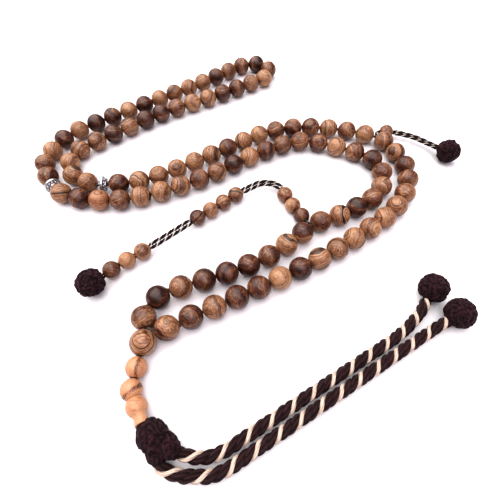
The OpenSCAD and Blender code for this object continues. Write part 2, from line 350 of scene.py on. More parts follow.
class Bench:
    """A workbench for one material's nodes."""

    def __init__(self, name: str) -> None:
        """Starts a material with one Principled shader.

        Args:
            name: the material's name.
        """
        self.material = bpy.data.materials.new(name)
        self.material.use_nodes = True
        self.tree = self.material.node_tree
        self.shader = self.tree.nodes["Principled BSDF"]

    def node(self, kind: str, **inputs: object) -> bpy.types.Node:
        """Adds a node.

        Args:
            kind: its type, without the ShaderNode in front.
            inputs: settings of the node, and values or links for its sockets, with spaces
                in a socket's name as underscores.

        Returns:
            The node.
        """
        made = self.tree.nodes.new("ShaderNode" + kind)
        for key, value in inputs.items():
            if hasattr(made, key) and key != "inputs":
                setattr(made, key, value)
        for key, value in inputs.items():
            if not hasattr(made, key):
                self.fill(made.inputs[key.replace("_", " ")], value)
        return made

    def fill(self, socket: bpy.types.NodeSocket, value: object) -> None:
        """Gives a socket a value, or links it to another node's socket."""
        if isinstance(value, bpy.types.NodeSocket):
            self.tree.links.new(value, socket)
        else:
            socket.default_value = value

    def note(self, name: str) -> bpy.types.NodeSocket:
        """The vector that the mesh's vertices carry under a name."""
        return self.node("Attribute", attribute_name=name).outputs["Vector"]

    def parts(self, vector: bpy.types.NodeSocket) -> list[bpy.types.NodeSocket]:
        """A vector's three numbers."""
        return list(self.node("SeparateXYZ", Vector=vector).outputs)

    def sum(self, operation: str, *values: object) -> bpy.types.NodeSocket:
        """The result of a sum on one to three numbers."""
        made = self.node("Math", operation=operation)
        for socket, value in zip(made.inputs, values):
            self.fill(socket, value)
        return made.outputs[0]

    def vector(self, operation: str, a: object, b: object) -> bpy.types.NodeSocket:
        """The vector that a sum on two vectors gives."""
        made = self.node("VectorMath", operation=operation)
        self.fill(made.inputs[0], a)
        self.fill(made.inputs[1], b)
        return made.outputs["Value" if operation == "LENGTH" else "Vector"]

    def noise(
        self, place: object, scale: float, detail: float = 2.0, line: bool = False,
        colour: bool = False,
    ) -> bpy.types.NodeSocket:
        """A noise, over space or along a line of numbers.

        Args:
            place: the vector, or the number, that it reads.
            scale: how fine it is.
            detail: how many finer layers it has.
            line: True if place is a number.
            colour: True for three noises at once.

        Returns:
            The noise's socket.
        """
        made = self.node("TexNoise", noise_dimensions="1D" if line else "3D")
        self.fill(made.inputs["W" if line else "Vector"], place)
        made.inputs["Scale"].default_value = scale
        made.inputs["Detail"].default_value = detail
        return made.outputs["Color" if colour else "Fac"]

    def rise(self, value: object, low: float, high: float) -> bpy.types.NodeSocket:
        """0 below low, 1 above high, and a soft rise between them."""
        made = self.node("MapRange", interpolation_type="SMOOTHSTEP", clamp=True)
        for key, number in (("Value", value), ("From Min", low), ("From Max", high)):
            self.fill(made.inputs[key], number)
        return made.outputs[0]

    def ramp(self, value: object, stops: Sequence[tuple[float, tuple]]) -> bpy.types.NodeSocket:
        """A colour picked from stops of (place, colour)."""
        made = self.node("ValToRGB", Fac=value)
        band = made.color_ramp
        while len(band.elements) < len(stops):
            band.elements.new(0.5)
        for element, (place, colour) in zip(band.elements, stops):
            element.position = place
            element.color = (*colour, 1)
        return made.outputs["Color"]

    def mix(self, share: object, a: object, b: object, blend: str = "MIX") -> bpy.types.NodeSocket:
        """Two colours mixed by a share from 0 to 1."""
        made = self.node("Mix", data_type="RGBA", blend_type=blend)
        for socket, value in ((made.inputs[0], share), (made.inputs[6], a), (made.inputs[7], b)):
            if isinstance(value, tuple):
                value = (*value, 1)
            self.fill(socket, value)
        return made.outputs[2]

    def relief(self, height: object, depth: float, strength: float = 1.0) -> None:
        """Gives the shader a bump of a height between 0 and 1, with a depth in metres."""
        bump = self.node("Bump", Height=height, Distance=depth, Strength=strength)
        self.fill(self.shader.inputs["Normal"], bump.outputs[0])

    def done(self, colour: object, roughness: object, **values: float) -> bpy.types.Material:
        """Fills in the shader.

        Args:
            colour: its base colour.
            roughness: its roughness.
            values: numbers for its other sockets, with underscores for spaces.

        Returns:
            The material.
        """
        self.fill(self.shader.inputs["Base Color"], colour)
        self.fill(self.shader.inputs["Roughness"], roughness)
        for key, value in values.items():
            self.shader.inputs[key.replace("_", " ")].default_value = value
        return self.material


@dataclass(frozen=True)
class FiguredWood:
    """Satin wood with growth rings, dark bands and pores, read from each bead's notes.

    Attributes:
        name: the material's name.
        shades: colours from the palest wood to the darkest.
        line: the colour of a growth line.
        band: the colour of a dark band.
        roughness: the smoothest the wood is.
        wander: how many millimetres the growth rings wander.
        broad: how much broad rings darken the wood.
        cloudy: how much soft patches darken it.
        fibrous: how much its fibres darken it.
    """

    name: str = "figured_wood"
    shades: tuple[tuple[float, tuple], ...] = (
        (0.0, (0.420, 0.242, 0.136)),
        (0.25, (0.288, 0.149, 0.080)),
        (0.5, (0.137, 0.057, 0.032)),
        (0.75, (0.052, 0.016, 0.010)),
        (1.0, (0.016, 0.006, 0.005)),
    )
    line: tuple[float, float, float] = (0.045, 0.016, 0.009)
    band: tuple[float, float, float] = (0.022, 0.008, 0.007)
    roughness: float = 0.30
    wander: float = 3.6
    broad: float = 1.35
    cloudy: float = 0.35
    fibrous: float = 1.5

    def make(self) -> bpy.types.Material:
        """Builds the material."""
        b = Bench(self.name)
        grain, figure, tone = b.note("grain"), b.note("figure"), b.note("tone")
        lines, band, fleck = b.parts(figure)
        dark, half, warm = b.parts(tone)
        # Rings lie round the pith, stretched along it, and wander a little.
        swirl = b.noise(b.vector("MULTIPLY", grain, (1, 1, 0.5)), 0.2, 1.5, colour=True)
        drift = b.vector("SUBTRACT", swirl, (0.5, 0.5, 0.5))
        warped = b.vector("ADD", grain, b.vector("MULTIPLY", drift, (self.wander,) * 3))
        ring = b.vector("LENGTH", b.vector("MULTIPLY", warped, (1, 1, 0.05)), (0, 0, 0))
        broad = b.noise(ring, 0.40, 1.0, line=True)
        dark_band = b.noise(b.sum("ADD", ring, 40.0), 0.36, 0.5, line=True)
        narrow = b.noise(ring, 1.9, 1.5, line=True)
        hair = b.noise(ring, 5.2, 1.0, line=True)
        fibre = b.noise(b.vector("MULTIPLY", warped, (2.6, 2.6, 0.5)), 1.0, 4.0)
        cloud = b.noise(grain, 0.35, 2.0)
        pores = b.rise(b.noise(b.vector("MULTIPLY", grain, (3.4, 3.4, 0.9)), 1.0, 2.0), 0.58, 0.70)
        halves = b.rise(b.sum("ADD", b.parts(grain)[0], b.sum("MULTIPLY", cloud, 3.0)), 9.8, 10.6)
        # What darkens the wood, from the bead's own tone on.
        depth = dark
        for cause, weight in ((broad, self.broad), (cloud, self.cloudy), (fibre, self.fibrous)):
            shift = b.sum("MULTIPLY", b.sum("SUBTRACT", cause, 0.5), weight)
            depth = b.sum("ADD", depth, shift)
        depth = b.sum("ADD", depth, b.sum("MULTIPLY", halves, half))
        colour = b.ramp(depth, self.shades)
        # Lines, streaks, pores and warmth over it.
        growth = b.sum("MULTIPLY", b.rise(narrow, 0.53, 0.66), lines)
        colour = b.mix(b.sum("MULTIPLY", growth, 0.85), colour, self.line)
        fine = b.sum("MULTIPLY", b.rise(hair, 0.45, 0.72), b.sum("MULTIPLY", lines, 0.55))
        colour = b.mix(fine, colour, self.line)
        streak = b.sum("MULTIPLY", b.rise(dark_band, 0.585, 0.65), band)
        colour = b.mix(streak, colour, self.band)
        colour = b.mix(b.sum("MULTIPLY", pores, fleck), colour, self.line)
        colour = b.mix(warm, colour, (0.92, 0.72, 0.64), "MULTIPLY")
        b.relief(b.sum("ADD", fibre, b.sum("MULTIPLY", growth, -0.6)), 0.00006, 0.5)
        rough = b.sum("ADD", self.roughness, b.sum("MULTIPLY", fibre, 0.16))
        return b.done(
            colour, rough, Specular_IOR_Level=0.45, Coat_Weight=0.14, Coat_Roughness=0.22
        )


@dataclass(frozen=True)
class Yarn:
    """Twisted yarn: fine strands that run round a ply, with fluff.

    Attributes:
        name: the material's name.
        hollow: the colour between the strands, a painted shade in the grooves.
        crest: the colour on top of them.
        strands: how many strands show round a ply.
        pitch: millimetres along the ply for each turn of a strand.
        fluff: the weight of the soft sheen.
    """

    name: str
    hollow: tuple[float, float, float]
    crest: tuple[float, float, float]
    strands: float = 5.0
    pitch: float = 3.2
    fluff: float = 0.35

    def make(self) -> bpy.types.Material:
        """Builds the material."""
        b = Bench(self.name)
        across, over, along = b.parts(b.note("strand"))
        angle = b.sum("ARCTAN2", over, across)
        spin = b.sum("MULTIPLY", along, TAU / self.pitch)
        wave = b.sum("SINE", b.sum("ADD", b.sum("MULTIPLY", angle, self.strands), spin))
        strand = b.sum("MULTIPLY_ADD", wave, 0.5, 0.5)
        place = b.node("CombineXYZ", X=across, Y=over, Z=b.sum("MULTIPLY", along, 0.6)).outputs[0]
        fuzz = b.noise(place, 5.5, 4.0)
        patch = b.noise(place, 0.9, 2.0)
        # Fuzz and patches vary the yarn's own colour; the strand wave darkens the grooves between
        # strands towards hollow, a painted shade.
        shade = b.sum("MULTIPLY_ADD", fuzz, 0.75, b.sum("MULTIPLY", strand, 0.35))
        shade = b.sum("ADD", shade, b.sum("MULTIPLY_ADD", patch, 0.5, -0.35))
        colour = b.ramp(shade, ((0.2, self.hollow), (0.85, self.crest)))
        b.relief(b.sum("ADD", strand, b.sum("MULTIPLY", fuzz, 0.8)), 0.00022, 0.9)
        return b.done(
            colour, b.sum("MULTIPLY_ADD", fuzz, 0.15, 0.78),
            Specular_IOR_Level=0.25, Sheen_Weight=self.fluff, Sheen_Roughness=0.5,
        )


@dataclass(frozen=True)
class Silver:
    """Bright metal, darkened in the hollows of its pattern.

    Attributes:
        name: the material's name.
        bright: the polished colour.
        tarnish: the colour in the hollows.
    """

    name: str = "silver"
    bright: tuple[float, float, float] = (0.50, 0.50, 0.52)
    tarnish: tuple[float, float, float] = (0.035, 0.033, 0.036)

    def make(self) -> bpy.types.Material:
        """Builds the material."""
        b = Bench(self.name)
        place = b.note("place")
        hollow = b.parts(place)[2]
        spots = b.noise(place, 0.9, 2.0)
        stain = b.rise(b.sum("ADD", hollow, b.sum("MULTIPLY", spots, 0.4)), 0.35, 0.9)
        colour = b.mix(stain, self.bright, self.tarnish)
        scratches = b.noise(b.vector("MULTIPLY", place, (1, 4, 1)), 1.5, 2.0)
        b.relief(scratches, 0.00002, 0.3)
        rough = b.sum("MULTIPLY_ADD", stain, 0.3, b.sum("MULTIPLY_ADD", scratches, 0.14, 0.24))
        return b.done(colour, rough, Metallic=0.96)


@dataclass(frozen=True)
class PaleTable:
    """A plain white table top.

    Attributes:
        name: the material's name.
        white: its colour.
        dull: what the colour tends to in faint patches.
    """

    name: str = "pale_table"
    white: tuple[float, float, float] = (0.765, 0.748, 0.762)
    dull: tuple[float, float, float] = (0.74, 0.73, 0.75)

    def make(self) -> bpy.types.Material:
        """Builds the material."""
        b = Bench(self.name)
        cloud = b.noise(b.node("TexCoord").outputs["Object"], 9.0, 3.0)
        colour = b.mix(b.sum("MULTIPLY", cloud, 0.02), self.white, self.dull)
        return b.done(colour, 0.7, Specular_IOR_Level=0.1)


class Finishes:
    """The finishes that the whole misbaha shares, each made once."""

    def __init__(self) -> None:
        """Builds every material."""
        self.wood = FiguredWood().make()
        self.pale_wood = FiguredWood(
            name="pale_wood",
            shades=(
                (0.0, (0.50, 0.275, 0.16)),
                (0.35, (0.40, 0.20, 0.105)),
                (0.7, (0.13, 0.055, 0.032)),
                (1.0, (0.05, 0.022, 0.015)),
            ),
            line=(0.24, 0.10, 0.045),
            band=(0.085, 0.04, 0.024),
            roughness=0.36,
        ).make()
        self.dark_yarn = Yarn(
            "dark_yarn", (0.005, 0.002, 0.002), (0.060, 0.023, 0.026), fluff=0.04
        ).make()
        self.cream_yarn = Yarn(
            "cream_yarn", (0.46, 0.33, 0.26), (0.80, 0.68, 0.59), fluff=0.05
        ).make()
        self.knot_yarn = Yarn(
            "knot_yarn", (0.003, 0.001, 0.002), (0.062, 0.022, 0.029), strands=3.0, pitch=2.4,
            fluff=0.03,
        ).make()
        self.thin_dark = Yarn(
            "thin_dark", (0.008, 0.004, 0.004), (0.045, 0.024, 0.022), fluff=0.05
        ).make()
        self.thin_cream = Yarn(
            "thin_cream", (0.62, 0.52, 0.44), (0.95, 0.88, 0.80), fluff=0.1
        ).make()
        self.string = Yarn("dark_string", (0.03, 0.018, 0.012), (0.12, 0.08, 0.06)).make()
        self.silver = Silver().make()
        self.table = PaleTable().make()


# ---- Camera, table and lights ----


@dataclass
class Studio:
    """A pale table under soft lights, and the camera.

    Attributes:
        eye: where the camera stands, in millimetres.
        tilt: how far it looks down from the level, in degrees.
        lens: its focal length, in millimetres.
        sensor: how wide its sensor is, in millimetres.
        table_size: the length of the table's side, in metres.
        room_tint: the colour of the light that the room gives from all round.
        room_light: how strong that is.
    """

    eye: tuple[float, float, float] = (9.0, -105.0, 117.1)
    tilt: float = 55.96
    lens: float = 27.99
    sensor: float = 36.0
    table_size: float = 4.0
    room_tint: tuple[float, float, float] = (0.99, 0.93, 1.0)
    room_light: float = 0.24

    def camera(self) -> None:
        """Stands the camera in front of the misbaha, looking down at it."""
        data = bpy.data.cameras.new("camera")
        data.sensor_fit = "HORIZONTAL"
        data.sensor_width = self.sensor
        data.lens = self.lens
        data.clip_start = 0.005
        made = bpy.data.objects.new("camera", data)
        made.location = Vector(self.eye) * MM
        made.rotation_euler = (math.radians(90 - self.tilt), 0, 0)
        bpy.context.scene.collection.objects.link(made)
        bpy.context.scene.camera = made

    def lamp(
        self, name: str, place: tuple, size: float, watts: float, tint: tuple
    ) -> None:
        """Hangs a soft square lamp that points at the middle of the misbaha.

        Args:
            name: its name.
            place: where it hangs, in metres.
            size: the length of its side.
            watts: its power.
            tint: its colour.
        """
        data = bpy.data.lights.new(name, "AREA")
        data.shape = "SQUARE"
        data.size = size
        data.energy = watts
        data.color = tint
        made = bpy.data.objects.new(name, data)
        made.location = place
        made.rotation_euler = (-Vector(place)).to_track_quat("-Z", "Y").to_euler()
        bpy.context.scene.collection.objects.link(made)

    def build(self, finishes: Finishes) -> None:
        """Lays the table and hangs the lamps."""
        half = self.table_size / 2
        table = Mesher()
        corners = [(-half, -half), (half, -half), (half, half), (-half, half)]
        table.add(np.array([(x, y, TABLE_Z) for x, y in corners]), [(0, 1, 2, 3)])
        table.piece("table_top", finishes.table)
        self.lamp(
            "key_lamp", place=(-0.55, 0.45, 1.50), size=2.8, watts=67.0, tint=(1.0, 0.985, 0.975)
        )
        self.lamp(
            "front_lamp", place=(0.66, -0.90, 1.65), size=1.8, watts=19.0, tint=(1.0, 0.94, 0.99)
        )
        world = bpy.data.worlds.new("room")
        world.use_nodes = True
        light = world.node_tree.nodes["Background"]
        light.inputs["Color"].default_value = (*self.room_tint, 1)
        light.inputs["Strength"].default_value = self.room_light
        scene = bpy.context.scene
        scene.world = world
        scene.view_settings.view_transform = "Standard"
        scene.view_settings.look = "High Contrast"
        scene.view_settings.exposure = 0.0


# ---- Wooden beads ----


class Figure(Enum):
    """What a bead's grain shows."""

    PLAIN = "-"
    STRIPES = "s"
    BAND = "b"
    EYE = "e"
    STREAK = "k"
    SPECKLES = "p"
    HALF = "h"
    RED = "r"


class Tone(Enum):
    """How dark a bead's wood is."""

    PALE = "V"
    LIGHT = "L"
    TAN = "N"
    MIDDLE = "M"
    RUSSET = "R"
    DARK = "D"
    BLACK = "X"


# How strongly growth lines, dark bands and dark flecks show in each figure.
MARKINGS = {
    Figure.PLAIN: (0.55, 0.25, 0.40), Figure.STRIPES: (1.0, 0.5, 0.3),
    Figure.BAND: (0.75, 0.85, 0.3), Figure.EYE: (0.95, 0.25, 0.3),
    Figure.STREAK: (0.8, 1.0, 0.4), Figure.SPECKLES: (0.6, 0.3, 1.0),
    Figure.HALF: (0.6, 0.3, 0.4), Figure.RED: (0.6, 0.2, 0.4),
}
# How far down the wood's shades each tone lies, from 0 to 1.
DARKNESS = {
    Tone.PALE: 0.02, Tone.LIGHT: 0.14, Tone.TAN: 0.28, Tone.MIDDLE: 0.42, Tone.RUSSET: 0.56,
    Tone.DARK: 0.68, Tone.BLACK: 0.84,
}


@dataclass(frozen=True)
class Look:
    """A bead's tone and figure, and the grain that gives them.

    Attributes:
        tone: how dark its wood is.
        figure: what its grain shows.
    """

    tone: Tone
    figure: Figure

    @staticmethod
    def read(codes: str) -> list["Look"]:
        """The looks that a string of two-letter codes spells, a tone and a figure each."""
        return [Look(Tone(c[0]), Figure(c[1])) for c in codes.split()]

    def notes(self, rng: random.Random) -> Callable[[np.ndarray], dict[str, np.ndarray]]:
        """Sets a bead in its own block of wood.

        Args:
            rng: where the chance comes from.

        Returns:
            A function from the vertices' places about the bead's centre, in metres, to
            their notes.
        """
        f = self.figure
        pith = Vector((rng.uniform(-1, 1), rng.uniform(-1, 1), rng.uniform(-0.4, 0.4)))
        away = rng.uniform(9, 17)
        if f is Figure.EYE:
            pith = Vector((rng.uniform(-0.35, 0.35), rng.uniform(-0.9, -0.3), 1))
            away = rng.uniform(0.2, 1.2)
        elif f is Figure.STRIPES:
            pith = Vector((rng.uniform(-1, 1), rng.uniform(-0.5, 0.5), rng.uniform(-0.5, 0.5)))
            away = rng.uniform(15, 22)
        pith.normalize()
        turn = np.array(pith.rotation_difference(UP).to_matrix())
        shift = np.array([away, rng.uniform(-1, 1), rng.uniform(-60, 60)])
        half = 0.0
        if f is Figure.HALF:
            shift[0] = rng.uniform(7.8, 9.2)
            half = 0.42 if DARKNESS[self.tone] < 0.5 else -0.45
        tone = (
            DARKNESS[self.tone] + rng.uniform(-0.05, 0.05),
            half,
            0.75 if f is Figure.RED else rng.uniform(0.0, 0.3),
        )

        def told(local: np.ndarray) -> dict[str, np.ndarray]:
            """Notes for vertices at these places."""
            return {
                "grain": local / MM @ turn.T + shift,
                "figure": np.array(MARKINGS[f]),
                "tone": np.array(tone),
            }

        return told


@dataclass
class RoundBead:
    """A round bead with a bore whose mouths are a little worn.

    Attributes:
        radius: the bead's radius.
        bore: the bore's radius.
        sides: how many steps go round it.
        rows: how many rows go from mouth to mouth outside.
        worn: how far the wear reaches round a mouth.
    """

    radius: float
    bore: float
    sides: int = 40
    rows: int = 22
    worn: float = 0.16 * MM

    def profile(self) -> list[tuple[float, float]]:
        """The bead's half section, from its top mouth down outside and up the bore."""
        start = math.asin((self.bore + self.worn) / self.radius)
        outside = [
            (self.radius * math.sin(a), self.radius * math.cos(a))
            for a in np.linspace(start, math.pi - start, self.rows)
        ]
        top = outside[0][1]
        lip = (self.bore + self.worn * 0.25, top - self.worn * 0.3)
        mouth = top - self.worn * 1.4
        inside = [(self.bore, -mouth), (self.bore, mouth)]
        return outside + [(lip[0], -lip[1])] + inside + [lip]

    def turn(
        self, into: Mesher, centre: Vector, axis: Vector, look: Look, rng: random.Random
    ) -> None:
        """Adds the bead to a mesh.

        Args:
            into: the mesh.
            centre: the bead's centre.
            axis: the direction of its bore.
            look: its tone and figure.
            rng: where the chance comes from.
        """
        shrink = rng.uniform(0.985, 1.0)
        squat = rng.uniform(0.985, 1.0)
        shape = [(r * shrink, z * shrink * squat) for r, z in self.profile()]
        into.lathe(shape, centre, axis, self.sides, note=look.notes(rng))


# ---- Loop ----

# How finely places are compared to find the corners that a solid's faces share.
SAME_PLACE = 0.001 * MM
STRING_RADIUS = 0.5 * MM
# How far each of two strands lies from the middle of their bore.
STRAND_OFFSET = 0.55 * MM


def add_string(mesh: Mesher, points: Sequence[Vector]) -> None:
    """Adds the loop's laid string along points."""
    line = smooth_line(points, 0.5 * MM)
    mesh.tube(line, STRING_RADIUS, 10, turns=0.35, lobes=(3, 0.08))


@dataclass
class Strung:
    """Where every bead of the loop sits, read from the CAD model.

    Attributes:
        centres: the loop's beads and spacers in order, from the junction bead round.
        axes: the direction of the bore at each of them.
        names: the CAD node of each of them.
    """

    centres: list[Vector] = field(default_factory=list)
    axes: list[Vector] = field(default_factory=list)
    names: list[str] = field(default_factory=list)

    @staticmethod
    def islands(node: str) -> list[Vector]:
        """The centres of a CAD node's separate solids."""
        mesh = frame["nodes"][node].data
        co = np.zeros(len(mesh.vertices) * 3)
        mesh.vertices.foreach_get("co", co)
        co = co.reshape(-1, 3)
        keys = np.round(co / SAME_PLACE).astype(np.int64)
        _, first, same = np.unique(keys, axis=0, return_index=True, return_inverse=True)
        parent = list(range(len(first)))

        def root(i: int) -> int:
            """The vertex that stands for i's solid."""
            while parent[i] != i:
                parent[i] = parent[parent[i]]
                i = parent[i]
            return i

        same = same.ravel()
        for polygon in mesh.polygons:
            a, *rest = [int(same[v]) for v in polygon.vertices]
            for v in rest:
                parent[root(v)] = root(a)
        groups: dict[int, list[int]] = {}
        for i in range(len(first)):
            groups.setdefault(root(i), []).append(int(first[i]))
        boxes = [co[g] for g in groups.values()]
        return [Vector((c.min(0) + c.max(0)) / 2) for c in boxes]

    def join(self, node: str) -> None:
        """Adds the beads of a CAD node, each next to the one before it."""
        spin = JOINTS.get(node + "_spin")
        if spin:
            self.centres.append(Vector(spin["pos_m"]))
            self.names.append(node)
            return
        left = self.islands(node)
        while left:
            left.sort(key=lambda c: (c - self.centres[-1]).length)
            self.centres.append(left.pop(0))
            self.names.append(node)

    @staticmethod
    def read() -> "Strung":
        """Reads the whole loop."""
        loop = Strung()
        low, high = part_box("junction_bead")
        loop.centres.append((low + high) / 2)
        loop.names.append("junction_bead")
        inner = [f"inner_bead_{i:02d}" for i in range(1, 14)]
        outer = [f"outer_bead_{i:02d}" for i in range(13, 0, -1)]
        for node in inner + ["inner_beads_14_33", "left_spacer", "far_beads_01_17"]:
            loop.join(node)
        for node in ["far_beads_18_34", "right_spacer", "outer_beads_14_33"] + outer:
            loop.join(node)
        ring = loop.centres + loop.centres[:1]
        for i, name in enumerate(loop.names):
            spin = JOINTS.get(name + "_spin")
            loop.axes.append(
                Vector(spin["axis"]).normalized() if spin else heading(ring, i)
            )
        loop.axes[0] = -Vector(JOINTS["head_bead_upper_spin"]["axis"]).normalized()
        return loop


@dataclass
class Loop:
    """The closed loop: its beads, its two spacers and its string.

    The looks are a tone and a figure for each bead, in the two-letter codes of Tone and Figure.

    Attributes:
        strung: where its beads sit.
        finishes: the shared finishes.
        bead: the shape of a loop bead.
        junction: the shape of the bead where the loop's ends meet.
        inner: the looks from the junction bead to the left spacer.
        far: the looks from the left spacer to the right one.
        outer: the looks from the junction bead to the right spacer.
        filled: how far from a bead's middle the string runs straight, as a share of its radius.
        spacer_run: how far from a spacer's middle the string runs straight.
    """

    strung: Strung
    finishes: Finishes
    bead: RoundBead = field(default_factory=lambda: RoundBead(4.1 * MM, 0.65 * MM))
    junction: RoundBead = field(default_factory=lambda: RoundBead(4.2 * MM, 1.0 * MM))
    inner: str = (
        "M- D- Le D- D- Dr M- Lb Lh Mp Lk Ds M- Lk M- D- M- Lb R- Nb Ms R- Lb D- Le M- Ls L- Lk "
        "Ms Lr Dp Lb"
    )
    far: str = (
        "M- M- L- Rb L- X- R- Lb D- L- N- Lb N- D- M- M- D- M- L- N- R- D- Ve L- M- D- Ds Ls Ds "
        "Le Ls L- Lb N-"
    )
    outer: str = (
        "Dh D- Le D- R- L- Dp Lb Le Lb L- Lb Ls N- M- R- Ls M- L- M- Lb Ne M- M- V- Lb R- Lk L- "
        "L- Ve Ls Rp"
    )
    filled: float = 0.98
    spacer_run: float = 1.6 * MM

    def looks(self) -> list[Look | None]:
        """The look of each item of the loop, in order; none for a spacer."""
        outer = Look.read(self.outer)[::-1]
        return (
            Look.read("Ls") + Look.read(self.inner) + [None] + Look.read(self.far) + [None] + outer
        )

    def beads(self) -> None:
        """Turns all the beads, one piece for each CAD node."""
        rng = random.Random(11)
        meshes: dict[str, Mesher] = {}
        for centre, axis, name, look in zip(
            self.strung.centres, self.strung.axes, self.strung.names, self.looks()
        ):
            if look is None:
                continue
            shape = self.junction if name == "junction_bead" else self.bead
            shape.turn(meshes.setdefault(name, Mesher()), centre, axis, look, rng)
        for name, mesh in meshes.items():
            piece = mesh.piece("wood_" + name, self.finishes.wood)
            slot = "pale_wood" if name == "junction_bead" else "figured_wood"
            settle(piece, name if name + "_spin" in JOINTS else "loop", slot, name)

    def string(self) -> None:
        """Runs the string through every bore and doubles it through the junction bead."""
        points = []
        for centre, axis, name in list(
            zip(self.strung.centres, self.strung.axes, self.strung.names)
        )[1:]:
            reach = self.spacer_run if "spacer" in name else self.bead.radius * self.filled
            points += [centre - axis * reach, centre + axis * reach]
        centre, axis = self.strung.centres[0], self.strung.axes[0]
        side = level_side(axis) * STRAND_OFFSET
        mouth = centre + axis * self.junction.radius
        low = centre - axis * self.junction.radius * 0.8
        points = [low - side, mouth - side] + points + [mouth + side, low + side]
        mesh = Mesher()
        add_string(mesh, points)
        settle(mesh.piece("loop_string", self.finishes.string), "loop", "string", "main_string")

    def spacers(self) -> None:
        """Makes the two spacers."""
        strung = self.strung
        for centre, axis, name in zip(strung.centres, strung.axes, strung.names):
            if "spacer" in name:
                Spacer().build(name, centre, axis, self.finishes)


@dataclass
class Spacer:
    """A metal spacer: two dished faces with grains of metal round them and a sharp rim.

    Attributes:
        radius: the radius of its rim.
        thick: its thickness at the hub.
        bore: the radius of its bore.
        grains: how many grains go round a face.
        grain_radius: the radius of a grain.
        ring: where the grains sit between the axis, 0, and the rim, 1.
        lift: where they sit between the middle, 0, and a hub's face, 0.5.
    """

    radius: float = 3.2 * MM
    thick: float = 3.2 * MM
    bore: float = 1.0 * MM
    grains: int = 11
    grain_radius: float = 0.46 * MM
    ring: float = 0.70
    lift: float = 0.27

    def profile(self) -> list[tuple[float, float]]:
        """The half section, from the bore's top out to the rim and back below, in shares of
        the rim's radius and of half the thickness."""
        r, t, bore = self.radius, self.thick / 2, self.bore
        upper = [
            (bore, t * 0.96), (bore + 0.1 * MM, t), (r * 0.42, t), (r * 0.50, t * 0.9),
            (r * 0.53, t * 0.62), (r * 0.58, t * 0.42), (r * 0.84, t * 0.30),
            (r * 0.90, t * 0.36), (r * 0.96, t * 0.32), (r, t * 0.14),
        ]
        return upper + [(x, -z) for x, z in reversed(upper)]

    def build(self, name: str, centre: Vector, axis: Vector, finishes: Finishes) -> None:
        """Makes one spacer.

        Args:
            name: its CAD node and body.
            centre: its centre.
            axis: the direction of its bore.
            finishes: the shared finishes.
        """
        mesh = Mesher()

        def told(local: np.ndarray) -> dict[str, np.ndarray]:
            """How deep in the pattern each vertex lies."""
            up = local @ np.array(axis)
            out = np.linalg.norm(local - up[:, None] * np.array(axis), axis=1) / self.radius
            ditch = np.clip(1 - np.abs(out - 0.66) / 0.16, 0, 1)
            return {"place": np.stack([out * 4, up / MM * 3, ditch], axis=1)}

        mesh.lathe(self.profile(), centre, axis, 48, note=told)
        turn = UP.rotation_difference(axis).to_matrix()
        out = self.radius * self.ring
        for face in (1, -1):
            for k in range(self.grains):
                a = TAU * (k + 0.25 * face) / self.grains
                at = Vector((math.cos(a) * out, math.sin(a) * out, face * self.thick * self.lift))
                self.grain(mesh, centre + turn @ at)
        settle(mesh.piece("metal_" + name, finishes.silver), name, "spacer_metal", name)

    def grain(self, mesh: Mesher, centre: Vector) -> None:
        """Adds one round grain of metal, too high to hold any tarnish."""
        r = self.grain_radius
        half = [(r * math.sin(a), r * math.cos(a)) for a in np.linspace(0.12, math.pi - 0.12, 8)]
        bright = {"place": np.array([1.0, 1.0, -0.3])}
        mesh.lathe(half, centre, UP, 12, note=lambda local: bright)


# ---- Head ----


